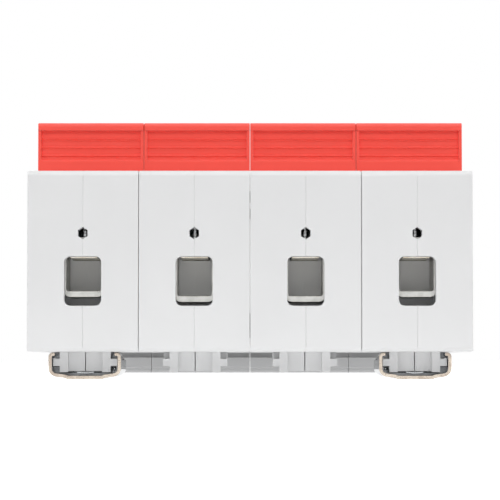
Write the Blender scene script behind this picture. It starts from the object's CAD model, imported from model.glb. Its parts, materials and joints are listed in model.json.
"""Dresses a four-pole plug-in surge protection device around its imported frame.

The moulded and stamped parts are copies of the frame's solids with softened edges. The screws, rail
clips, rivets and lenses are modelled anew in the places that the frame gives. Every part gets a
procedural finish, and a plain studio and a camera are set around the whole.
"""

from __future__ import annotations

import json
import logging
import math
from collections.abc import Callable, Iterable, Sequence
from dataclasses import dataclass, field
from enum import Enum

import bmesh
import bpy
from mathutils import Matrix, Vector

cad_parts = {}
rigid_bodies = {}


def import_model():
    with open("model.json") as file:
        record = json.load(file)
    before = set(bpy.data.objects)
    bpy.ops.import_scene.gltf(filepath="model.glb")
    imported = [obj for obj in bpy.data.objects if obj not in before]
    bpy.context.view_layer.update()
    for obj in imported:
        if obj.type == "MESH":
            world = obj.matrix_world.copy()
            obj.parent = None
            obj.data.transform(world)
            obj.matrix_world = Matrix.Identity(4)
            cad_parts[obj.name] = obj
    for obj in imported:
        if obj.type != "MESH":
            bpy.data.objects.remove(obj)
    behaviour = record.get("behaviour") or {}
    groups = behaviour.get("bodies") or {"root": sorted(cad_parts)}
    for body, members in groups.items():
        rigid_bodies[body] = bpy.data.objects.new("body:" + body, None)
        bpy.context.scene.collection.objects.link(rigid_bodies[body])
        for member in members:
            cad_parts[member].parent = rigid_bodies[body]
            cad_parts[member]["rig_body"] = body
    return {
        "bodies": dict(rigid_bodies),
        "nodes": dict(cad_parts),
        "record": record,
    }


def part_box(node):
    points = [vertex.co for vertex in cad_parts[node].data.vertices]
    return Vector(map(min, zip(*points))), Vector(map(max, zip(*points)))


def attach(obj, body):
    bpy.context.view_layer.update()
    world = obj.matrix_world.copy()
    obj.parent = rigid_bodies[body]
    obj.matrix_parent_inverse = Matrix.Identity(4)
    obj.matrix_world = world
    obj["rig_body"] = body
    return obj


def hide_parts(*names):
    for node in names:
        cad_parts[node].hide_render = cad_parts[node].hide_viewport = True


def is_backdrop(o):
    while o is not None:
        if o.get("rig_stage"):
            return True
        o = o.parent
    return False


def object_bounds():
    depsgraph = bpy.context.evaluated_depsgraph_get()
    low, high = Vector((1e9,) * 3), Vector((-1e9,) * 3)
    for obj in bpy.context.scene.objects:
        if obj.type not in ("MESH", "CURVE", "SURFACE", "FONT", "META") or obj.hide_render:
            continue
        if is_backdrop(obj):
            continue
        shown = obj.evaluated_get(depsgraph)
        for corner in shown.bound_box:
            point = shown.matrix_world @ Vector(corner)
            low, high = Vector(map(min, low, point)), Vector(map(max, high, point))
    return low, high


MM = 0.001
LOG = logging.getLogger("surge_device")
Colour = tuple[float, float, float]


class End(Enum):
    """The two ends of a pole: the clip's end is near the camera."""

    NEAR = "near"
    FAR = "far"


class Side(Enum):
    """The two half shells of a pole."""

    LEFT = "left"
    RIGHT = "right"


class Rays(Enum):
    """The kinds of rays that see the white of the studio itself."""

    CAMERA = "Is Camera Ray"
    GLOSSY = "Is Glossy Ray"
    TRANSMISSION = "Is Transmission Ray"


class Bench:
    """Blender's modelling operators, used as by hand on one piece at a time."""

    @staticmethod
    def clear() -> None:
        """Leaves edit mode and deselects every object."""
        if bpy.context.object is not None and bpy.context.object.mode != "OBJECT":
            bpy.ops.object.mode_set(mode="OBJECT")
        for item in list(bpy.context.selected_objects):
            item.select_set(False)

    @staticmethod
    def take(*pieces: bpy.types.Object) -> bpy.types.Object:
        """Selects only these pieces and makes the first one active.

        Args:
            pieces: The pieces to select.

        Returns:
            The first piece.
        """
        Bench.clear()
        for piece in pieces:
            piece.select_set(True)
        bpy.context.view_layer.objects.active = pieces[0]
        return pieces[0]

    @staticmethod
    def open(piece: bpy.types.Object, everything: bool = True) -> None:
        """Opens a piece in edit mode.

        Args:
            piece: The piece to edit.
            everything: Whether its whole mesh is selected, or nothing of it.
        """
        Bench.take(piece)
        bpy.ops.object.mode_set(mode="EDIT")
        bpy.ops.mesh.select_mode(type="VERT")
        bpy.ops.mesh.select_all(action="SELECT" if everything else "DESELECT")

    @staticmethod
    def close() -> None:
        """Goes back to object mode."""
        bpy.ops.object.mode_set(mode="OBJECT")

    @staticmethod
    def settle(piece: bpy.types.Object) -> None:
        """Puts a piece's place and size into its mesh, so that its object sits at the origin."""
        Bench.take(piece)
        bpy.ops.object.transform_apply(location=True, rotation=True, scale=True)

    @staticmethod
    def box(low: Vector, high: Vector) -> bpy.types.Object:
        """Adds a box between two corners.

        Args:
            low: Its lowest corner.
            high: Its highest corner.

        Returns:
            The box, with its place in its mesh.
        """
        Bench.clear()
        bpy.ops.mesh.primitive_cube_add(size=1, location=(low + high) / 2)
        piece = bpy.context.object
        piece.scale = high - low
        Bench.settle(piece)
        return piece

    @staticmethod
    def drum(foot: Vector, height: float, radius: float, sides: int = 64) -> bpy.types.Object:
        """Adds an upright cylinder.

        Args:
            foot: The middle of its lower end.
            height: Its height.
            radius: Its radius.
            sides: The number of its sides.

        Returns:
            The cylinder, with its place in its mesh.
        """
        Bench.clear()
        bpy.ops.mesh.primitive_cylinder_add(
            vertices=sides, radius=radius, depth=height, location=foot + Vector((0, 0, height / 2))
        )
        piece = bpy.context.object
        Bench.settle(piece)
        return piece

    @staticmethod
    def line(points: Sequence[Vector]) -> bpy.types.Object:
        """Draws an open line by extruding one point from place to place.

        Args:
            points: The places of its points.

        Returns:
            The line.
        """
        Bench.clear()
        bpy.ops.mesh.primitive_plane_add(size=MM, location=points[0])
        piece = bpy.context.object
        Bench.settle(piece)
        Bench.open(piece)
        bpy.ops.mesh.merge(type="CENTER")
        for before, after in zip(points, points[1:]):
            bpy.ops.mesh.extrude_region_move(TRANSFORM_OT_translate={"value": after - before})
        Bench.close()
        return piece

    @staticmethod
    def sweep(piece: bpy.types.Object, steps: Iterable[Vector]) -> None:
        """Extrudes a line step by step into a sheet.

        Args:
            piece: The line.
            steps: The way of each step.
        """
        Bench.open(piece)
        for step in steps:
            bpy.ops.mesh.extrude_region_move(TRANSFORM_OT_translate={"value": step})
        Bench.close()

    @staticmethod
    def pick_faces(piece: bpy.types.Object, wanted: Callable[[Vector, Vector], bool]) -> None:
        """Selects the faces of an open piece by their middle and their normal.

        Args:
            piece: The piece, in edit mode.
            wanted: Says of a middle and a normal whether the face is selected.
        """
        bpy.ops.mesh.select_mode(type="FACE")
        mesh = bmesh.from_edit_mesh(piece.data)
        for face in mesh.faces:
            face.select_set(wanted(face.calc_center_median(), face.normal))
        bmesh.update_edit_mesh(piece.data)

    @staticmethod
    def pick_edges(piece: bpy.types.Object, wanted: Callable[[Vector, Vector], bool]) -> None:
        """Selects the edges of an open piece by their two ends.

        Args:
            piece: The piece, in edit mode.
            wanted: Says of an edge's two ends whether the edge is selected.
        """
        bpy.ops.mesh.select_mode(type="EDGE")
        mesh = bmesh.from_edit_mesh(piece.data)
        for edge in mesh.edges:
            edge.select_set(wanted(edge.verts[0].co, edge.verts[1].co))
        bmesh.update_edit_mesh(piece.data)

    @staticmethod
    def modify(piece: bpy.types.Object, kind: str, **settings: object) -> None:
        """Adds a modifier to a piece and applies it.

        Args:
            piece: The piece.
            kind: The modifier's type.
            settings: The modifier's settings.
        """
        Bench.take(piece)
        modifier = piece.modifiers.new(kind.title(), kind)
        for name, value in settings.items():
            setattr(modifier, name, value)
        bpy.ops.object.modifier_apply(modifier=modifier.name)

    @staticmethod
    def soften(piece: bpy.types.Object, width: float, angle: float = 50, rings: int = 2) -> None:
        """Rounds the sharp edges of a piece.

        Args:
            piece: The piece.
            width: The width of the rounding.
            angle: The least angle of an edge that is rounded, in degrees.
            rings: The number of facets across the rounding.
        """
        Bench.modify(
            piece, "BEVEL", width=width, segments=rings, limit_method="ANGLE", angle_limit=math.radians(angle)
        )

    @staticmethod
    def cut(piece: bpy.types.Object, tool: bpy.types.Object, join: bool = False) -> None:
        """Cuts a tool's shape out of a piece, or adds it, and removes the tool.

        Args:
            piece: The piece.
            tool: The shape that is cut out or added.
            join: Whether the shape is added.
        """
        Bench.modify(piece, "BOOLEAN", operation="UNION" if join else "DIFFERENCE", object=tool, solver="EXACT")
        bpy.data.objects.remove(tool)

    @staticmethod
    def merge(piece: bpy.types.Object, distance: float = 0.001 * MM) -> None:
        """Merges a mesh's doubled points and turns all its faces outwards."""
        Bench.open(piece)
        bpy.ops.mesh.remove_doubles(threshold=distance)
        bpy.ops.mesh.normals_make_consistent(inside=False)
        Bench.close()

    @staticmethod
    def join(pieces: Sequence[bpy.types.Object]) -> bpy.types.Object:
        """Joins several pieces into the first one and returns it."""
        Bench.take(*pieces)
        bpy.ops.object.join()
        return pieces[0]

    @staticmethod
    def shade(piece: bpy.types.Object, angle: float = 32) -> None:
        """Shades a piece smooth, apart from edges sharper than the given angle in degrees."""
        Bench.take(piece)
        bpy.ops.object.shade_smooth_by_angle(angle=math.radians(angle))
        Bench.modify(piece, "WEIGHTED_NORMAL", keep_sharp=True, weight=100)

    @staticmethod
    def twin(piece: bpy.types.Object, name: str, shift: Vector) -> bpy.types.Object:
        """Copies a piece with its own mesh to another place.

        Args:
            piece: The piece to copy.
            name: The copy's name.
            shift: The way from the piece to its copy.

        Returns:
            The copy.
        """
        Bench.take(piece)
        bpy.ops.object.duplicate(linked=False)
        copy = bpy.context.object
        copy.name = name
        copy.location = copy.location + shift
        Bench.settle(copy)
        return copy


class NodeSheet:
    """A material's nodes, with the few moves that the finishes share."""

    def __init__(self, name: str) -> None:
        """Starts a material with one principled shader.

        Args:
            name: The material's name.
        """
        self.material = bpy.data.materials.new(name)
        self.material.use_nodes = True
        self.tree = self.material.node_tree
        self.tree.nodes.clear()
        self.output = self.add("ShaderNodeOutputMaterial")
        self.surface = self.add("ShaderNodeBsdfPrincipled")
        self.join(self.surface.outputs["BSDF"], self.output.inputs["Surface"])
        self.place = self.add("ShaderNodeTexCoord").outputs["Object"]

    def add(self, kind: str, **settings: object) -> bpy.types.Node:
        """Adds a node and sets its properties."""
        node = self.tree.nodes.new(kind)
        for name, value in settings.items():
            setattr(node, name, value)
        return node

    def join(self, source: bpy.types.NodeSocket, target: bpy.types.NodeSocket) -> None:
        """Links one node's output to another's input."""
        self.tree.links.new(source, target)

    def give(self, **values: object) -> None:
        """Sets the surface's own sockets: an underscore in a name stands for a blank.

        Args:
            values: A number or a colour for each socket, or an output to link to it.
        """
        for name, value in values.items():
            socket = self.surface.inputs[name.replace("_", " ")]
            if isinstance(value, bpy.types.NodeSocket):
                self.join(value, socket)
            else:
                socket.default_value = (*value, 1) if isinstance(value, tuple) else value

    def noise(
        self, size: float, detail: float = 2, stretch: Colour = (1, 1, 1), rough: float = 0.5
    ) -> bpy.types.NodeSocket:
        """Cloudy noise on the object's own coordinates.

        Args:
            size: The size of its clouds.
            detail: The number of finer layers.
            stretch: How many times longer the clouds are along each axis.
            rough: How strong the finer layers are.

        Returns:
            A value that lies mostly between 0.3 and 0.7.
        """
        squeezed = self.add("ShaderNodeMapping", vector_type="POINT")
        squeezed.inputs["Scale"].default_value = tuple(1 / (size * s) for s in stretch)
        self.join(self.place, squeezed.inputs["Vector"])
        noise = self.add("ShaderNodeTexNoise")
        noise.inputs["Scale"].default_value = 1
        noise.inputs["Detail"].default_value = detail
        noise.inputs["Roughness"].default_value = rough
        self.join(squeezed.outputs["Vector"], noise.inputs["Vector"])
        return noise.outputs["Fac"]

    def spread(
        self, value: bpy.types.NodeSocket, start: float, end: float, low: float = 0, high: float = 1
    ) -> bpy.types.NodeSocket:
        """Maps a value from one span to another and keeps it within that.

        Args:
            value: The value.
            start: The start of its span.
            end: The end of its span.
            low: What the start becomes.
            high: What the end becomes.

        Returns:
            The mapped value.
        """
        node = self.add("ShaderNodeMapRange")
        self.join(value, node.inputs["Value"])
        for name, number in (("From Min", start), ("From Max", end), ("To Min", low), ("To Max", high)):
            node.inputs[name].default_value = number
        return node.outputs["Result"]

    def maths(
        self, operation: str, first: bpy.types.NodeSocket, second: bpy.types.NodeSocket | float
    ) -> bpy.types.NodeSocket:
        """Works out one sum from two values.

        Args:
            operation: The sum, such as MULTIPLY.
            first: The first value.
            second: The second value, as a socket or a number.

        Returns:
            The result.
        """
        node = self.add("ShaderNodeMath", operation=operation)
        self.join(first, node.inputs[0])
        if isinstance(second, bpy.types.NodeSocket):
            self.join(second, node.inputs[1])
        else:
            node.inputs[1].default_value = second
        return node.outputs[0]

    def mix(
        self, share: bpy.types.NodeSocket, first: Colour | bpy.types.NodeSocket, second: Colour
    ) -> bpy.types.NodeSocket:
        """Mixes two colours.

        Args:
            share: The second colour's share.
            first: The first colour.
            second: The second colour.

        Returns:
            The mixed colour.
        """
        node = self.add("ShaderNodeMix", data_type="RGBA")
        self.join(share, node.inputs["Factor"])
        if isinstance(first, bpy.types.NodeSocket):
            self.join(first, node.inputs["A"])
        else:
            node.inputs["A"].default_value = (*first, 1)
        node.inputs["B"].default_value = (*second, 1)
        return node.outputs["Result"]

    def rounded(self, radius: float) -> bpy.types.NodeSocket:
        """The normal with all edges rounded by a radius."""
        node = self.add("ShaderNodeBevel", samples=6)
        node.inputs["Radius"].default_value = radius
        return node.outputs["Normal"]

    def corners(self, radius: float) -> bpy.types.NodeSocket:
        """How near a place is to an edge: 0 on the flat and about 1 on a corner."""
        turned = self.add("ShaderNodeVectorMath", operation="DOT_PRODUCT")
        self.join(self.rounded(radius), turned.inputs[0])
        self.join(self.add("ShaderNodeNewGeometry").outputs["Normal"], turned.inputs[1])
        return self.spread(turned.outputs["Value"], 0.98, 0.75)

    def bump(
        self, height: bpy.types.NodeSocket, depth: float, normal: bpy.types.NodeSocket | None = None
    ) -> bpy.types.NodeSocket:
        """A rough surface's normal.

        Args:
            height: The height of each place, from 0 to 1.
            depth: The depth of the roughness.
            normal: The normal that it starts from, or the surface's own.

        Returns:
            The normal.
        """
        node = self.add("ShaderNodeBump")
        node.inputs["Distance"].default_value = depth
        self.join(height, node.inputs["Height"])
        if normal is not None:
            self.join(normal, node.inputs["Normal"])
        return node.outputs["Normal"]


@dataclass(frozen=True)
class MouldedPlastic:
    """Moulded plastic with a fine eroded grain, a faint drift of shade and rubbed corners."""

    name: str
    colour: Colour
    rubbed: Colour
    roughness: float
    grain: float = 0.16 * MM
    grain_depth: float = 0.004 * MM
    drift: float = 14 * MM
    drift_share: float = 0.05
    edge: float = 0.12 * MM
    rub: float = 0.5
    rub_from: float = 0.52

    def tone(self, sheet: NodeSheet) -> bpy.types.NodeSocket:
        """The plastic's own colour, with its drift of shade.

        Args:
            sheet: The material's nodes.

        Returns:
            The colour.
        """
        deeper = tuple(c * (1 - 2 * self.drift_share) for c in self.colour)
        return sheet.mix(sheet.spread(sheet.noise(self.drift, 3), 0.25, 0.75), self.colour, deeper)

    def material(self) -> bpy.types.Material:
        """The finish as a material."""
        sheet = NodeSheet(self.name)
        patches = sheet.spread(sheet.noise(1.6 * MM, 4), self.rub_from, self.rub_from + 0.16)
        rubbing = sheet.maths("MULTIPLY", sheet.corners(self.edge * 1.6), patches)
        share = sheet.maths("MULTIPLY", rubbing, self.rub)
        grain = sheet.noise(self.grain, 3)
        dull = sheet.spread(sheet.noise(5 * MM, 3), 0.3, 0.7, self.roughness - 0.05, self.roughness + 0.06)
        sheet.give(
            Base_Color=sheet.mix(share, self.tone(sheet), self.rubbed),
            Roughness=dull,
            IOR=1.49,
            Normal=sheet.bump(grain, self.grain_depth, sheet.rounded(self.edge)),
        )
        return sheet.material


@dataclass(frozen=True)
class TwoColourPlastic(MouldedPlastic):
    """Moulded plastic whose colour changes across a line: the printed end of a slider."""

    other: Colour = (0.5, 0.02, 0.02)
    line: float = -2.7 * MM

    def tone(self, sheet: NodeSheet) -> bpy.types.NodeSocket:
        """The colour, with the printed end beyond the line.

        Args:
            sheet: The material's nodes.

        Returns:
            The colour.
        """
        split = sheet.add("ShaderNodeSeparateXYZ")
        sheet.join(sheet.place, split.inputs[0])
        ragged = sheet.maths("MULTIPLY_ADD", sheet.noise(0.5 * MM, 2), 0.04 * MM)
        ragged.node.inputs[2].default_value = -0.02 * MM
        along = sheet.maths("ADD", split.outputs["Y"], ragged)
        beyond = sheet.spread(along, self.line + 0.02 * MM, self.line - 0.02 * MM)
        return sheet.mix(beyond, super().tone(sheet), self.other)


@dataclass(frozen=True)
class PlatedMetal:
    """Plated sheet or turned metal, with fine rolling marks, stains and worn edges."""

    name: str
    colour: Colour
    stain: Colour
    roughness: float
    marks: Colour = (1, 30, 1)
    mark_size: float = 0.05 * MM
    mark_depth: float = 0.003 * MM
    stain_size: float = 2.5 * MM
    pitting: float = 0.0
    edge: float = 0.1 * MM

    def material(self) -> bpy.types.Material:
        """The finish as a material."""
        sheet = NodeSheet(self.name)
        stains = sheet.spread(sheet.noise(self.stain_size, 5, rough=0.6), 0.42, 0.72)
        colour = sheet.mix(stains, self.colour, self.stain)
        if self.pitting > 0:
            pits = sheet.spread(sheet.noise(0.28 * MM, 3), 0.56, 0.66)
            colour = sheet.mix(
                sheet.maths("MULTIPLY", pits, self.pitting), colour, tuple(c * 0.3 for c in self.stain)
            )
        marks = sheet.noise(self.mark_size, 3, self.marks)
        sheet.give(
            Base_Color=colour,
            Metallic=1.0,
            Roughness=sheet.spread(marks, 0.3, 0.7, self.roughness - 0.07, self.roughness + 0.1),
            Normal=sheet.bump(marks, self.mark_depth, sheet.rounded(self.edge)),
        )
        return sheet.material


@dataclass(frozen=True)
class ClearPlastic:
    """Clear moulded plastic with a few hairline scratches."""

    name: str
    colour: Colour
    roughness: float = 0.08
    haze: float = 0.05

    def material(self) -> bpy.types.Material:
        """The finish as a material."""
        sheet = NodeSheet(self.name)
        scratches = sheet.noise(0.07 * MM, 2, (1, 60, 1))
        waves = sheet.noise(3 * MM, 2)
        sheet.give(
            Base_Color=self.colour,
            Roughness=sheet.spread(waves, 0.3, 0.7, self.roughness, self.roughness + 0.05),
            IOR=1.49,
            Alpha=self.haze,
            Normal=sheet.bump(scratches, 0.002 * MM),
        )
        return sheet.material


@dataclass(frozen=True)
class DippedCoat:
    """A thick dipped coat, glossy and uneven like orange peel, with dust in it."""

    name: str
    colour: Colour
    speck: Colour
    roughness: float = 0.22

    def material(self) -> bpy.types.Material:
        """The finish as a material."""
        sheet = NodeSheet(self.name)
        specks = sheet.spread(sheet.noise(0.25 * MM, 2), 0.66, 0.74)
        peel = sheet.noise(1.1 * MM, 2)
        sheet.give(
            Base_Color=sheet.mix(specks, self.colour, self.speck),
            Roughness=sheet.spread(sheet.noise(4 * MM, 3), 0.3, 0.7, self.roughness, self.roughness + 0.14),
            IOR=1.55,
            Coat_Weight=0.3,
            Normal=sheet.bump(peel, 0.05 * MM, sheet.rounded(0.5 * MM)),
        )
        return sheet.material


@dataclass
class Finishes:
    """The finishes of the device, each made once."""

    housing: bpy.types.Material = field(init=False)
    cap: bpy.types.Material = field(init=False)
    carrier: bpy.types.Material = field(init=False)
    flag: bpy.types.Material = field(init=False)
    brass: bpy.types.Material = field(init=False)
    screw: bpy.types.Material = field(init=False)
    cage: bpy.types.Material = field(init=False)
    clip_face: bpy.types.Material = field(init=False)
    clip_edge: bpy.types.Material = field(init=False)
    clip_tab: bpy.types.Material = field(init=False)
    rivet: bpy.types.Material = field(init=False)
    lens: bpy.types.Material = field(init=False)
    varistor: bpy.types.Material = field(init=False)
    solder: bpy.types.Material = field(init=False)

    def __post_init__(self) -> None:
        """Makes every material."""
        self.housing = MouldedPlastic(
            "pale_grey_plastic", (0.765, 0.768, 0.772), (0.86, 0.86, 0.86), 0.46, drift_share=0.012
        ).material()
        self.cap = MouldedPlastic(
            "red_plastic", (0.93, 0.076, 0.052), (0.93, 0.34, 0.28), 0.4, drift_share=0.015, rub_from=0.3
        ).material()
        self.carrier = MouldedPlastic(
            "red_inner_plastic", (0.70, 0.040, 0.030), (0.85, 0.3, 0.25), 0.5, drift_share=0.04
        ).material()
        self.flag = TwoColourPlastic(
            "status_plastic", (0.02, 0.30, 0.08), (0.2, 0.5, 0.25), 0.42, other=(0.62, 0.02, 0.015)
        ).material()
        self.brass = PlatedMetal("tinned_brass", (0.74, 0.70, 0.62), (0.55, 0.48, 0.36), 0.3).material()
        self.screw = PlatedMetal(
            "zinc_screw", (0.76, 0.77, 0.78), (0.5, 0.5, 0.48), 0.2, marks=(12, 12, 1), stain_size=1.2 * MM
        ).material()
        self.cage = PlatedMetal("zinc_cage", (0.52, 0.52, 0.50), (0.38, 0.38, 0.36), 0.36).material()
        self.clip_face = PlatedMetal(
            "rolled_nickel", (0.52, 0.53, 0.54), (0.38, 0.39, 0.40), 0.16, stain_size=4 * MM
        ).material()
        self.clip_edge = PlatedMetal(
            "sheared_nickel", (0.62, 0.55, 0.47), (0.42, 0.34, 0.28), 0.42, marks=(1, 1, 1), pitting=0.6
        ).material()
        self.clip_tab = PlatedMetal(
            "dulled_nickel", (0.40, 0.41, 0.42), (0.28, 0.28, 0.29), 0.42, marks=(1, 1, 1), pitting=0.3
        ).material()
        self.rivet = PlatedMetal(
            "rivet_nickel", (0.64, 0.63, 0.60), (0.40, 0.38, 0.34), 0.3, marks=(1, 8, 8), stain_size=1.5 * MM
        ).material()
        self.solder = PlatedMetal(
            "dull_solder", (0.52, 0.52, 0.50), (0.34, 0.34, 0.33), 0.45, marks=(1, 1, 1), mark_size=0.4 * MM
        ).material()
        self.lens = ClearPlastic("clear_plastic", (0.96, 0.98, 0.98)).material()
        self.varistor = DippedCoat("blue_epoxy", (0.012, 0.05, 0.16), (0.08, 0.12, 0.24)).material()


@dataclass
class Frame:
    """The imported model, with what the sub-assemblies ask of it."""

    bodies: dict[str, bpy.types.Object]
    nodes: dict[str, bpy.types.Object]
    record: dict[str, object]
    made: list[bpy.types.Object] = field(default_factory=list)

    def body_of(self, node: str) -> str:
        """The name of the body that a node belongs to."""
        return self.nodes[node]["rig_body"]

    def poles(self) -> range:
        """The numbers of the poles."""
        return range(1, 1 + sum(name.startswith("window_") for name in self.nodes))

    def seat(
        self, piece: bpy.types.Object, name: str, node: str, materials: Sequence[bpy.types.Material]
    ) -> bpy.types.Object:
        """Lets a finished piece stand for a node: it rides with it and takes its slot.

        Args:
            piece: The piece, with its place in its mesh.
            name: The piece's name.
            node: The node that it stands for.
            materials: The materials of its slots.

        Returns:
            The piece.
        """
        piece.name = name
        piece.data.name = name
        if len(piece.data.materials) != len(materials):
            piece.data.materials.clear()
            for material in materials:
                piece.data.materials.append(material)
        for index, material in enumerate(materials):
            piece.data.materials[index] = material
        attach(piece, self.body_of(node))
        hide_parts(node)
        self.made.append(piece)
        LOG.info("%s rides on %s", name, self.body_of(node))
        return piece

    def softened(
        self,
        node: str,
        edge: float,
        angle: float = 50,
        rings: int = 2,
        reshape: Callable[[bpy.types.Object], None] | None = None,
    ) -> bpy.types.Object:
        """Copies a node as one closed skin and rounds its edges.

        Args:
            node: The node to copy.
            edge: The width of the rounding.
            angle: The least angle of an edge that is rounded, in degrees.
            rings: The number of facets across the rounding.
            reshape: Works on the copy before its edges are rounded.

        Returns:
            The copy.
        """
        piece = bpy.data.objects.new(node + "_copy", self.nodes[node].data.copy())
        bpy.context.scene.collection.objects.link(piece)
        Bench.take(piece)
        bpy.ops.mesh.customdata_custom_splitnormals_clear()
        Bench.open(piece)
        bpy.ops.mesh.remove_doubles(threshold=0.0005 * MM)
        bpy.ops.mesh.dissolve_limited(angle_limit=math.radians(0.3))
        Bench.close()
        if reshape is not None:
            reshape(piece)
        Bench.soften(piece, edge, angle, rings)
        Bench.shade(piece)
        return piece


@dataclass
class Base:
    """The housing's half shells and the contact strips inside them."""

    frame: Frame
    finishes: Finishes
    shell_edge: float = 0.04 * MM
    strip_edge: float = 0.12 * MM

    def build(self) -> None:
        """Dresses every half shell and contact strip."""
        for pole in self.frame.poles():
            for side in Side:
                self.half_shell(pole, side)
            for end in End:
                self.contact(pole, end)

    def half_shell(self, pole: int, side: Side) -> None:
        """One half shell, with its mouth, holes and feet softened as a mould leaves them."""
        node = f"housing_{side.value}_{pole}"
        piece = self.frame.softened(node, self.shell_edge)
        self.frame.seat(piece, f"moulded_{node}", node, [self.finishes.housing])

    def contact(self, pole: int, end: End) -> None:
        """One contact strip."""
        node = f"contact_{end.value}_{pole}"
        piece = self.frame.softened(node, self.strip_edge)
        self.frame.seat(piece, f"pressed_{node}", node, [self.finishes.brass])


@dataclass
class Terminals:
    """The terminal screws, with their threads, and the cages that they draw up."""

    frame: Frame
    finishes: Finishes
    pitch: float = 0.8 * MM
    thread_depth: float = 0.42 * MM
    shaft_radius: float = 2.5 * MM
    head_height: float = 3.5 * MM
    head_edge: float = 0.35 * MM
    slot_width: float = 1.1 * MM
    slot_depth: float = 1.8 * MM
    cage_edge: float = 0.15 * MM
    ridge: float = 0.22 * MM
    jaw: float = 1.4 * MM
    turn_steps: int = 32

    def build(self) -> None:
        """Makes the screws from one master, and dresses the cages."""
        low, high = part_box("screw_near_1")
        master = self.screw(low, high)
        for pole in self.frame.poles():
            for end in End:
                self.place_screw(master, low, pole, end)
                self.cage(pole, end)
        bpy.data.objects.remove(master)

    def thread(self, axis: Vector, bottom: float, top: float) -> bpy.types.Object:
        """Winds a thread round an axis, with a closed tip.

        Args:
            axis: A point on the screw's axis.
            bottom: The height of the tip.
            top: The height at which the thread ends inside the head.

        Returns:
            The threaded shaft.
        """
        crest, root = self.shaft_radius, self.shaft_radius - self.thread_depth
        profile = [(crest, 0), (crest, 0.42), (root, 0.64), (root, 0.78), (crest, 1)]
        start = bottom + 0.25 * MM
        piece = Bench.line([Vector((r, 0, start + share * self.pitch)) for r, share in profile])
        turns = math.ceil((top - start) / self.pitch)
        Bench.modify(
            piece,
            "SCREW",
            axis="Z",
            angle=2 * math.pi,
            screw_offset=self.pitch,
            iterations=turns,
            steps=self.turn_steps,
            render_steps=self.turn_steps,
            use_merge_vertices=True,
            merge_threshold=0.001 * MM,
        )
        for level, keep_above in ((start + self.pitch, True), (top, False)):
            Bench.open(piece)
            bpy.ops.mesh.bisect(
                plane_co=(0, 0, level),
                plane_no=(0, 0, 1),
                use_fill=False,
                clear_inner=keep_above,
                clear_outer=not keep_above,
            )
            Bench.close()
        Bench.merge(piece)
        self.close_end(piece, start + self.pitch, bottom)
        self.close_end(piece, top, top)
        Bench.merge(piece)
        piece.location = Vector((axis.x, axis.y, 0))
        Bench.settle(piece)
        return piece

    def close_end(self, piece: bpy.types.Object, level: float, target: float) -> None:
        """Closes a threaded shaft's open end, drawn in to a cone where it is a tip.

        Args:
            piece: The shaft.
            level: The height of its open end.
            target: The height at which it is closed.
        """
        reach = 0.01 * MM
        Bench.open(piece, everything=False)
        Bench.pick_edges(piece, lambda a, b: abs(a.z - level) < reach and abs(b.z - level) < reach)
        if target < level:
            bpy.ops.mesh.extrude_region_move(TRANSFORM_OT_translate={"value": (0, 0, target - level)})
            bpy.ops.transform.resize(value=(0.82, 0.82, 1), center_override=(0, 0, target))
        bpy.ops.mesh.edge_face_add()
        Bench.close()

    def screw(self, low: Vector, high: Vector) -> bpy.types.Object:
        """Models a terminal screw: a threaded shaft and a head with crossed slots.

        Args:
            low: The lowest corner of the screw's place.
            high: The highest corner of the screw's place.

        Returns:
            The screw.
        """
        axis = (low + high) / 2
        radius = (high.x - low.x) / 2
        neck = high.z - self.head_height
        head = Bench.drum(Vector((axis.x, axis.y, neck)), self.head_height, radius)
        Bench.open(head, everything=False)
        Bench.pick_faces(head, lambda middle, normal: normal.z > 0.9)
        bpy.ops.mesh.inset(thickness=self.head_edge)
        bpy.ops.transform.translate(value=(0, 0, -0.06 * MM))
        Bench.pick_edges(head, lambda a, b: max(a.z, b.z) > high.z - 0.01 * MM and abs(a.z - b.z) < 0.01 * MM)
        bpy.ops.mesh.bevel(offset=self.head_edge / 2, segments=3, affect="EDGES")
        Bench.close()
        half = Vector((self.slot_width / 2, radius * 0.76, 0))
        for reach in (half, Vector((half.y, half.x, 0))):
            bottom = Vector((axis.x, axis.y, high.z - self.slot_depth))
            slot = Bench.box(bottom - reach, bottom + reach + Vector((0, 0, 2 * self.slot_depth)))
            Bench.cut(head, slot)
        shaft = self.thread(axis, low.z, neck + 0.3 * MM)
        Bench.cut(head, shaft, join=True)
        Bench.soften(head, 0.06 * MM, 60, 1)
        Bench.shade(head, 40)
        return head

    def place_screw(self, master: bpy.types.Object, low: Vector, pole: int, end: End) -> None:
        """Copies the screw to one terminal.

        Args:
            master: The screw that is copied.
            low: The lowest corner of the master's place.
            pole: The pole's number.
            end: The pole's end.
        """
        node = f"screw_{end.value}_{pole}"
        piece = Bench.twin(master, node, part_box(node)[0] - low)
        self.frame.seat(piece, f"threaded_{node}", node, [self.finishes.screw])

    def cage(self, pole: int, end: End) -> None:
        """Dresses one cage and presses ridges into its lower jaw.

        Args:
            pole: The pole's number.
            end: The pole's end.
        """
        node = f"cage_{end.value}_{pole}"
        low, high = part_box(node)
        piece = self.frame.softened(node, self.cage_edge)
        level = low.z + self.jaw - 0.05 * MM
        half_width = (high.x - low.x) / 2 - 1.7 * MM
        ridges = []
        for step in range(-3, 4):
            middle = Vector(((low.x + high.x) / 2, (low.y + high.y) / 2 + step * 1.2 * MM, level))
            reach = Vector((half_width, 1.5 * self.ridge, 0))
            ridge = Bench.box(middle - reach, middle + reach + Vector((0, 0, self.ridge + 0.05 * MM)))
            Bench.open(ridge, everything=False)
            Bench.pick_faces(ridge, lambda middle, normal: normal.z > 0.9)
            bpy.ops.transform.resize(value=(0.97, 0.3, 1))
            Bench.close()
            ridges.append(ridge)
        piece = Bench.join([piece, *ridges])
        Bench.shade(piece)
        self.frame.seat(piece, f"folded_{node}", node, [self.finishes.cage])


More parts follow.
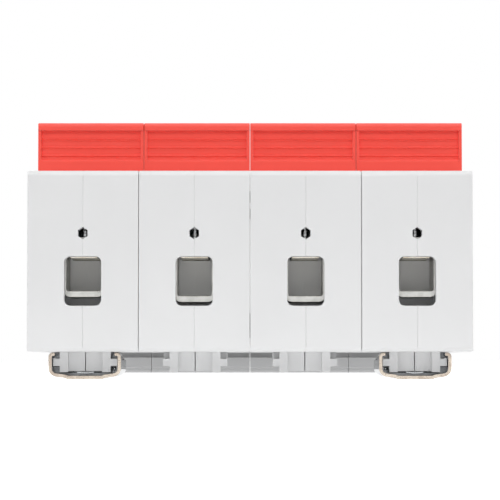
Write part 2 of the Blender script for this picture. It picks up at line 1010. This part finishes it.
@dataclass
class Cartridges:
    """The plug-in cartridges: cap, carrier, varistor, blades, status flag and lens."""

    frame: Frame
    finishes: Finishes
    cap_edge: float = 0.1 * MM
    carrier_edge: float = 0.15 * MM
    coat_edge: float = 1.1 * MM
    blade_edge: float = 0.15 * MM
    flag_edge: float = 0.15 * MM
    lens_edge: float = 0.18 * MM
    blob_radius: float = 2.2 * MM
    rib_zone: tuple[float, float] = (49.65 * MM, 55.3 * MM)
    rib_depths: tuple[float, float] = (0.35 * MM, 0.95 * MM)
    rib_drop: float = 0.4 * MM
    lip_rise: float = 0.3 * MM

    def build(self) -> None:
        """Dresses all the pieces of every cartridge."""
        for pole in self.frame.poles():
            self.cap(pole)
            self.dress(f"cartridge_carrier_{pole}", "moulded", self.carrier_edge, self.finishes.carrier)
            self.dress(f"varistor_{pole}", "dipped", self.coat_edge, self.finishes.varistor, rings=4)
            self.dress(f"flag_{pole}", "printed", self.flag_edge, self.finishes.flag)
            self.dress(f"window_{pole}", "clear", self.lens_edge, self.finishes.lens, rings=3)
            self.blades(pole)

    def dress(
        self, node: str, manner: str, edge: float, finish: bpy.types.Material, rings: int = 2
    ) -> None:
        """Softens and seats one piece.

        Args:
            node: The node that the piece stands for.
            manner: How the real piece is made, as the first word of the piece's name.
            edge: The width of its rounded edges.
            finish: Its material.
            rings: The number of facets across the rounding.
        """
        piece = self.frame.softened(node, edge, rings=rings)
        self.frame.seat(piece, f"{manner}_{node}", node, [finish])

    def lower_ribs(self, piece: bpy.types.Object) -> None:
        """Sets the grip ribs of a cap a little lower, to where the photograph shows them.

        Args:
            piece: The cap, before its edges are rounded.
        """
        corners = [piece.matrix_world @ Vector(corner) for corner in piece.bound_box]
        lip = max(corner.y for corner in corners)
        face = lip - self.lip_rise
        nearest, farthest = (face - depth for depth in self.rib_depths)
        for vertex in piece.data.vertices:
            if farthest < abs(vertex.co.y) < nearest and self.rib_zone[0] < vertex.co.z < self.rib_zone[1]:
                vertex.co.z -= self.rib_drop

    def cap(self, pole: int) -> None:
        """Dresses one red cap, with its grip ribs lowered.

        Args:
            pole: The pole's number.
        """
        node = f"cartridge_shell_{pole}"
        piece = self.frame.softened(node, self.cap_edge, reshape=self.lower_ribs)
        self.frame.seat(piece, f"moulded_{node}", node, [self.finishes.cap])

    def blades(self, pole: int) -> None:
        """Dresses the plug blades and adds the solder that holds the sprung arm.

        Args:
            pole: The pole's number.
        """
        node = f"blades_{pole}"
        low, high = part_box(node)
        piece = self.frame.softened(node, self.blade_edge)
        Bench.clear()
        spot = Vector((low.x + 0.1 * MM, 0, high.z - 3 * MM))
        bpy.ops.mesh.primitive_uv_sphere_add(segments=24, ring_count=12, radius=self.blob_radius, location=spot)
        blob = bpy.context.object
        blob.scale = (0.22, 1, 1)
        Bench.settle(blob)
        blob.data.materials.append(self.finishes.brass)
        blob.data.materials.append(self.finishes.solder)
        for face in blob.data.polygons:
            face.material_index = 1
        piece.data.materials.clear()
        piece.data.materials.append(self.finishes.brass)
        piece.data.materials.append(self.finishes.solder)
        piece = Bench.join([piece, blob])
        Bench.shade(piece)
        self.frame.seat(piece, f"pressed_{node}", node, [self.finishes.brass, self.finishes.solder])


@dataclass
class Rivets:
    """The long rivets that clamp the base: a domed head on one side, a rolled end on the other."""

    frame: Frame
    finishes: Finishes
    rod_radius: float = 1.5 * MM
    head_radius: float = 2.6 * MM
    head_height: float = 0.8 * MM
    spots: tuple[tuple[float, float], ...] = ((-27.3, 39), (27.3, 39), (-39, 5.8), (39, 5.8), (0, 9))

    def build(self) -> None:
        """Makes the five rivets as one piece."""
        low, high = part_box("tie_rivets")
        made = []
        for y, z in self.spots:
            spot = Vector((0, y * MM, z * MM))
            made.append(self.head(low.x, spot, 1, hollow=False))
            made.append(self.head(high.x, spot, -1, hollow=True))
            rod = Bench.drum(Vector((0, 0, -high.x + self.head_height / 2)), 2 * high.x - self.head_height,
                             self.rod_radius, 32)
            self.lay(rod, spot)
            made.append(rod)
        piece = Bench.join(made)
        Bench.shade(piece, 40)
        self.frame.seat(piece, "domed_tie_rivets", "tie_rivets", [self.finishes.rivet])

    def lay(self, piece: bpy.types.Object, spot: Vector) -> None:
        """Turns an upright piece to lie along X and moves it to its spot.

        Args:
            piece: The piece, standing on Z.
            spot: Where its origin goes.
        """
        piece.rotation_euler = (0, math.pi / 2, 0)
        piece.location = spot
        Bench.settle(piece)

    def head(self, x: float, spot: Vector, inward: int, hollow: bool) -> bpy.types.Object:
        """Spins one rivet head from its profile.

        Args:
            x: The place of its outermost point.
            spot: The rivet's place in Y and Z.
            inward: The sign of the way from the outermost point into the housing.
            hollow: Whether the head is a rolled end with a hole, or a dome.

        Returns:
            The head.
        """
        r, h = self.head_radius, self.head_height
        if hollow:
            curl = [(0.42 * r, -0.9 * h), (0.44 * r, -0.35 * h)]
            arc = [(0.72 * r - 0.28 * r * math.cos(t), -0.35 * h + 0.35 * h * math.sin(t))
                   for t in (math.radians(a) for a in range(20, 161, 20))]
            profile = [(0, -0.9 * h), *curl, *arc, (r, -0.45 * h), (r, -h), (0, -h)]
        else:
            arc = [(r * math.sin(t), -0.72 * h + 0.72 * h * math.cos(t))
                   for t in (math.radians(a) for a in range(0, 91, 10))]
            profile = [*arc, (r, -h), (0, -h)]
        piece = Bench.line([Vector((radius, 0, level)) for radius, level in profile])
        Bench.open(piece)
        bpy.ops.mesh.spin(steps=40, angle=2 * math.pi, center=(0, 0, 0), axis=(0, 0, 1))
        Bench.close()
        Bench.merge(piece)
        piece.rotation_euler = (0, -inward * math.pi / 2, 0)
        piece.location = Vector((x, spot.y, spot.z))
        Bench.settle(piece)
        return piece


@dataclass
class RailClip:
    """A spring clip: a channel of sheet metal round the foot, with a back plate and a rail hook."""

    frame: Frame
    finishes: Finishes
    sheet: float = 0.85 * MM
    foot_half: float = 6.25 * MM
    hook_half: float = 7.9 * MM
    curl_length: float = 5.4 * MM
    wall_top: float = -2.0 * MM
    hook_top: float = -1.2 * MM
    back_plate: float = -19.775 * MM
    side_round: float = 1.7 * MM
    curl_round: float = 0.7 * MM
    curl_tip: float = 7.3 * MM
    joggle: float = 0.3 * MM
    joggle_at: float = 4.6 * MM
    eye: float = 0.45 * MM
    eye_level: float = -4.1 * MM
    foot_bottom: float = -5.0 * MM
    guide_bottom: float = -3.5 * MM
    guide_top: float = -1.7 * MM
    tab_at: float = 5.0 * MM
    tab_gap: float = 0.15 * MM
    tab_outer: float = 8.1 * MM
    finger_half: float = 2.1 * MM
    finger_rise: float = 0.85 * MM
    finger_sheet: float = 0.35 * MM
    finger_length: float = 6.0 * MM
    finger_at: float = 1.8 * MM
    edge: float = 0.16 * MM
    arc_steps: int = 9

    def build(self) -> None:
        """Makes a clip for every pole that has one."""
        for pole in self.frame.poles():
            if f"rail_clip_{pole}" in self.frame.nodes:
                self.clip(pole)

    def arc(self, corner: Vector, radius: float, start: float, end: float) -> list[Vector]:
        """Points of a bend in the X-Z plane.

        Args:
            corner: The middle of the bend.
            radius: The bend's radius.
            start: The angle of its first point, in degrees from +X.
            end: The angle of its last point.

        Returns:
            The points.
        """
        angles = [math.radians(start + (end - start) * k / self.arc_steps) for k in range(self.arc_steps + 1)]
        return [corner + radius * Vector((math.cos(a), 0, math.sin(a))) for a in angles]

    def half_line(self, side: float, floor: float, top: float) -> list[Vector]:
        """The right half of the channel's line, from the curl's tip down to the middle.

        Args:
            side: The distance of the side wall's middle from the clip's middle.
            floor: The height of the floor's middle.
            top: The height of the curl's middle.

        Returns:
            The points in the X-Z plane.
        """
        curl = self.arc(Vector((side - self.curl_round, 0, top - self.curl_round)), self.curl_round, 90, 8)
        lower = floor + 0.55 * MM
        side_bend = self.arc(Vector((side - self.side_round, 0, lower + self.side_round)), self.side_round, -4, -84)
        return [
            Vector((self.curl_tip, 0, top)),
            *curl,
            Vector((side, 0, self.wall_top)),
            *side_bend,
            Vector((self.joggle_at + 0.35 * MM, 0, floor + self.joggle)),
            Vector((self.joggle_at, 0, floor + self.joggle / 2)),
            Vector((self.joggle_at - 0.35 * MM, 0, floor)),
            Vector((0, 0, floor - 0.02 * MM)),
        ]

    def channel(self, line: list[Vector], front: float, back: float) -> bpy.types.Object:
        """Bends the sheet round the foot and cuts the curls off behind the front.

        Args:
            line: The channel's line, from curl to curl.
            front: The place of its front edge.
            back: The place of its back edge.

        Returns:
            The channel.
        """
        piece = Bench.line([point + Vector((0, front, 0)) for point in line])
        lengths = [self.curl_length, *[(back - front - self.curl_length) / 4] * 4]
        Bench.sweep(piece, [Vector((0, length, 0)) for length in lengths])
        Bench.open(piece, everything=False)
        limit, behind = self.wall_top, front + self.curl_length
        Bench.pick_faces(piece, lambda middle, normal: middle.z > limit and middle.y > behind)
        bpy.ops.mesh.delete(type="FACE")
        Bench.close()
        Bench.modify(piece, "SOLIDIFY", thickness=self.sheet, offset=0, use_even_offset=True)
        Bench.merge(piece)
        Bench.soften(piece, self.edge, 60, 3)
        return piece

    def plate(self, line: list[Vector], centre: float) -> bpy.types.Object:
        """Cuts the back plate to the channel's line, with its small eye.

        Args:
            line: The channel's line.
            centre: The clip's middle in X.

        Returns:
            The plate.
        """
        back = self.back_plate - self.sheet / 2
        level = self.hook_top - self.sheet / 2
        outline = [p for p in line if p.z < level]
        outline = [Vector((outline[0].x, 0, level)), *outline, Vector((outline[-1].x, 0, level))]
        piece = Bench.line([point + Vector((0, back, 0)) for point in outline])
        Bench.open(piece)
        bpy.ops.mesh.edge_face_add()
        bpy.ops.mesh.extrude_region_move(TRANSFORM_OT_translate={"value": (0, self.sheet, 0)})
        bpy.ops.mesh.select_all(action="SELECT")
        bpy.ops.mesh.normals_make_consistent(inside=False)
        Bench.close()
        Bench.clear()
        Bench.clear()
        spot = Vector((centre + self.foot_half + 0.35 * MM, self.back_plate, self.eye_level))
        bpy.ops.mesh.primitive_cylinder_add(
            vertices=32, radius=self.eye, depth=3 * self.sheet, location=spot, rotation=(math.pi / 2, 0, 0)
        )
        Bench.cut(piece, bpy.context.object)
        Bench.soften(piece, 0.08 * MM, 60, 2)
        return piece

    def tabs(self, centre: float, front: float, floor: float) -> list[bpy.types.Object]:
        """The tabs that stand up behind the front edge, clear of the foot and its guide rails.

        Args:
            centre: The clip's middle in X.
            front: The place of the front edge.
            floor: The height of the floor's upper face.

        Returns:
            One tab under the foot and, on each side, one below and one above the guide rail.
        """
        side, inner = self.tab_outer, self.foot_half + self.tab_gap
        spans = [(-inner, inner, floor - 0.2 * MM, self.foot_bottom - self.tab_gap)]
        for start, end in ((inner, side), (-side, -inner)):
            spans.append((start, end, floor + 0.3 * MM, self.guide_bottom - self.tab_gap))
            spans.append((start, end, self.guide_top + self.tab_gap, self.wall_top + 1.6 * MM))
        made = []
        for start, end, low, high in spans:
            near = Vector((centre + start, front + self.tab_at, low))
            tab = Bench.box(near, Vector((centre + end, near.y + self.finger_sheet, high)))
            Bench.soften(tab, 0.06 * MM, 60, 2)
            made.append(tab)
        return made

    def pin(self, centre: float, front: float) -> bpy.types.Object:
        """The domed end of the small pin in the lower tab on the device's inner side.

        Args:
            centre: The clip's middle in X.
            front: The place of the tabs' near faces.

        Returns:
            The pin's dome.
        """
        across = centre + math.copysign(self.foot_half + self.tab_gap + 1.1 * self.eye, -centre)
        Bench.clear()
        bpy.ops.mesh.primitive_uv_sphere_add(
            segments=20, ring_count=10, radius=self.eye, location=(across, front, self.eye_level)
        )
        piece = bpy.context.object
        piece.scale = (1, 0.5, 1)
        Bench.settle(piece)
        return piece

    def hook(self, centre: float, tip: float) -> bpy.types.Object:
        """Bends the hook over the top of the back plate.

        Args:
            centre: The clip's middle in X.
            tip: The place of the hook's tip.

        Returns:
            The hook.
        """
        middle = self.hook_top - self.sheet / 2
        radius = 0.5 * MM
        bend = [
            Vector((0, self.back_plate + radius - radius * math.cos(a), middle - radius + radius * math.sin(a)))
            for a in (math.radians(15 * k) for k in range(7))
        ]
        line = [Vector((0, self.back_plate, middle - 1.6 * MM)), *bend, Vector((0, tip, middle))]
        shift = Vector((centre - self.hook_half, 0, 0))
        piece = Bench.line([point + shift for point in line])
        Bench.sweep(piece, [Vector((2 * self.hook_half, 0, 0))])
        Bench.modify(piece, "SOLIDIFY", thickness=self.sheet, offset=0, use_even_offset=True)
        Bench.merge(piece)
        Bench.soften(piece, self.edge, 60, 3)
        return piece

    def finger(self, centre: float, front: float, floor: float) -> bpy.types.Object:
        """The sprung finger that bears on the foot: a dished strip that rises from the floor.

        Args:
            centre: The clip's middle in X.
            front: The place of its front edge.
            floor: The height of the floor's upper face.

        Returns:
            The finger.
        """
        Bench.clear()
        bpy.ops.mesh.primitive_grid_add(x_subdivisions=12, y_subdivisions=14, size=1)
        piece = bpy.context.object
        piece.scale = (2 * self.finger_half, self.finger_length, 1)
        piece.location = (centre, front + self.finger_length / 2, floor)
        Bench.settle(piece)
        for vertex in piece.data.vertices:
            along = (vertex.co.y - front) / self.finger_length
            across = (vertex.co.x - centre) / self.finger_half
            rise = self.finger_rise * min(1, max(0, (1 - along) / 0.45))
            vertex.co.z += rise - 0.2 * MM * (1 - across * across) * min(1, (1 - along) / 0.3)
        Bench.modify(piece, "SOLIDIFY", thickness=self.finger_sheet, offset=0)
        Bench.soften(piece, 0.08 * MM, 60, 2)
        return piece

    def clip(self, pole: int) -> None:
        """Models and seats one clip.

        Args:
            pole: The pole's number.
        """
        node = f"rail_clip_{pole}"
        low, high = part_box(node)
        half_sheet = self.sheet / 2
        centre = (low.x + high.x) / 2
        floor = low.z + half_sheet + 0.02 * MM
        half = self.half_line((high.x - low.x) / 2 - half_sheet, floor, high.z - half_sheet)
        mirrored = [Vector((-point.x, 0, point.z)) for point in reversed(half[:-1])]
        line = [point + Vector((centre, 0, 0)) for point in [*half, *mirrored]]
        channel = self.channel(line, low.y, self.back_plate + half_sheet)
        plate = self.plate(line, centre)
        hook = self.hook(centre, high.y)
        finger = self.finger(centre, low.y + self.finger_at, floor + half_sheet)
        tabs = self.tabs(centre, low.y, floor + half_sheet)
        metals = [self.finishes.clip_face, self.finishes.clip_edge, self.finishes.clip_tab]
        pin = self.pin(centre, low.y + self.tab_at)
        for part in (channel, plate, hook, finger, pin, *tabs):
            for metal in metals:
                part.data.materials.append(metal)
        for tab in tabs:
            for face in tab.data.polygons:
                face.material_index = 2
        for face in channel.data.polygons:
            face.material_index = int(face.normal.y < -0.6)
        piece = Bench.join([channel, plate, hook, finger, pin, *tabs])
        Bench.shade(piece, 40)
        self.frame.seat(piece, f"sprung_{node}", node, metals)


@dataclass
class Studio:
    """The pale floor, the soft lamps, the white surroundings and the camera."""

    floor_size: float = 12.0
    floor_tone: float = 0.86
    floor_glow: float = 0.80
    ambient: float = 0.24
    viewpoint: Vector = field(default_factory=lambda: Vector((0, -0.495, -0.002)))
    lens: float = 134.1
    sensor: float = 36.0
    picture_size: int = 500
    horizon_row: float = 360.0
    shift: float = 0.08

    def white_share(self, tree: bpy.types.NodeTree) -> bpy.types.NodeSocket:
        """How far a ray sees the studio's own white: 1 for camera, glossy and transmission rays.

        Args:
            tree: The node tree that gets the nodes.

        Returns:
            The share.
        """
        path = tree.nodes.new("ShaderNodeLightPath")
        share = path.outputs[Rays.CAMERA.value]
        for rays in (Rays.GLOSSY, Rays.TRANSMISSION):
            either = tree.nodes.new("ShaderNodeMath")
            either.operation = "MAXIMUM"
            tree.links.new(share, either.inputs[0])
            tree.links.new(path.outputs[rays.value], either.inputs[1])
            share = either.outputs[0]
        return share

    def surroundings(self) -> None:
        """Surrounds the scene with soft light that shows as plain white."""
        world = bpy.data.worlds.new("studio_white")
        bpy.context.scene.world = world
        world.use_nodes = True
        tree = world.node_tree
        tree.nodes.clear()
        soft, white, mixed, out = (
            tree.nodes.new(kind)
            for kind in (
                "ShaderNodeBackground",
                "ShaderNodeBackground",
                "ShaderNodeMixShader",
                "ShaderNodeOutputWorld",
            )
        )
        soft.inputs["Color"].default_value = (1.0, 1.0, 1.0, 1)
        soft.inputs["Strength"].default_value = self.ambient
        white.inputs["Color"].default_value = (1, 1, 1, 1)
        white.inputs["Strength"].default_value = 1
        tree.links.new(self.white_share(tree), mixed.inputs["Fac"])
        tree.links.new(soft.outputs[0], mixed.inputs[1])
        tree.links.new(white.outputs[0], mixed.inputs[2])
        tree.links.new(mixed.outputs[0], out.inputs["Surface"])

    def floor(self, level: float) -> None:
        """Lays a white floor that keeps a soft shadow.

        Args:
            level: The height of the floor.
        """
        Bench.clear()
        bpy.ops.mesh.primitive_plane_add(size=self.floor_size, location=(0, 0, level))
        piece = bpy.context.object
        piece.name = "studio_floor"
        Bench.settle(piece)
        sheet = NodeSheet("floor_white")
        tone = sheet.spread(sheet.noise(300 * MM, 2), 0.3, 0.7, self.floor_tone - 0.01, self.floor_tone + 0.01)
        grey = sheet.add("ShaderNodeCombineColor")
        for channel in ("Red", "Green", "Blue"):
            sheet.join(tone, grey.inputs[channel])
        sheet.give(Base_Color=grey.outputs[0], Roughness=0.9, Specular_IOR_Level=0.0)
        glow = sheet.add("ShaderNodeEmission")
        glow.inputs["Color"].default_value = (1, 1, 1, 1)
        glow.inputs["Strength"].default_value = self.floor_glow
        both = sheet.add("ShaderNodeAddShader")
        sheet.join(sheet.surface.outputs[0], both.inputs[0])
        sheet.join(glow.outputs[0], both.inputs[1])
        mixed = sheet.add("ShaderNodeMixShader")
        sheet.join(self.white_share(sheet.tree), mixed.inputs["Fac"])
        sheet.join(sheet.surface.outputs[0], mixed.inputs[1])
        sheet.join(both.outputs[0], mixed.inputs[2])
        sheet.join(mixed.outputs[0], sheet.output.inputs["Surface"])
        piece.data.materials.append(sheet.material)
        piece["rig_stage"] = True

    def lamp(
        self, name: str, place: Vector, width: float, height: float, power: float, mirrored: bool = True
    ) -> None:
        """Sets up a soft box that faces the device.

        Args:
            name: The lamp's name.
            place: The middle of the box.
            width: The width of the box.
            height: The height of the box.
            power: Its power in watts.
            mirrored: Whether polished metal shows the box itself.
        """
        data = bpy.data.lights.new(name, "AREA")
        data.shape = "RECTANGLE"
        data.size = width
        data.size_y = height
        data.energy = power
        lamp = bpy.data.objects.new(name, data)
        bpy.context.scene.collection.objects.link(lamp)
        lamp.location = place
        lamp.rotation_euler = (Vector((0, 0, 0.02)) - place).to_track_quat("-Z", "Y").to_euler()
        lamp.visible_camera = False
        lamp.visible_glossy = mirrored
        lamp.visible_transmission = mirrored

    def camera(self) -> None:
        """Sets the camera level with the rail, tilted up a little as in the photograph."""
        data = bpy.data.cameras.new("camera")
        data.lens = self.lens
        data.sensor_width = self.sensor
        data.sensor_fit = "HORIZONTAL"
        data.shift_y = self.shift
        data.clip_start = 10 * MM
        focal_pixels = self.lens / self.sensor * self.picture_size
        below_middle = self.horizon_row - self.picture_size / 2 - self.shift * self.picture_size
        camera = bpy.data.objects.new("camera", data)
        bpy.context.scene.collection.objects.link(camera)
        camera.location = self.viewpoint
        camera.rotation_euler = (math.pi / 2 + math.atan(below_middle / focal_pixels), 0, 0)
        bpy.context.scene.camera = camera

    def build(self, floor_level: float) -> None:
        """Sets up everything round the device.

        Args:
            floor_level: The height of the surface that the device stands on.
        """
        self.camera()
        self.surroundings()
        self.floor(floor_level)
        self.lamp("overhead_box", Vector((0, -0.1, 0.75)), 0.8, 0.5, 2.5)
        self.lamp("front_box", Vector((0, -0.75, 0.6)), 1.1, 0.35, 3.35)
        self.lamp("low_strip", Vector((0, -0.9, 0.016)), 1.2, 0.04, 0.54, mirrored=False)
        self.lamp("lit_table", Vector((0, 0, floor_level + 0.1 * MM)), 0.18, 0.16, 0.026, mirrored=False)
        self.lamp("left_box", Vector((-0.8, -0.25, 0.15)), 0.6, 0.4, 1.0)
        self.lamp("right_box", Vector((0.8, -0.25, 0.15)), 0.6, 0.4, 1.0)
        self.lamp("back_box", Vector((0, 0.8, 0.5)), 1.0, 0.35, 1.8)
        bpy.context.scene.view_settings.view_transform = "Standard"


def corners(bounds: tuple[Vector, Vector]) -> list[list[float]]:
    """A box's two corners as plain lists of numbers."""
    return [list(corner) for corner in bounds]


def main() -> None:
    """Loads the frame, dresses every part, sets the studio and notes the sizes."""
    logging.basicConfig(level=logging.INFO, format="%(name)s: %(message)s")
    for item in list(bpy.data.objects):
        bpy.data.objects.remove(item)
    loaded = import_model()
    packed_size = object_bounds()
    frame = Frame(loaded["bodies"], loaded["nodes"], loaded["record"])
    finishes = Finishes()
    Studio().build(packed_size[0].z)
    Base(frame, finishes).build()
    Terminals(frame, finishes).build()
    Cartridges(frame, finishes).build()
    Rivets(frame, finishes).build()
    RailClip(frame, finishes).build()
    LOG.info("%d pieces made", len(frame.made))


if __name__ == "__main__":
    main()
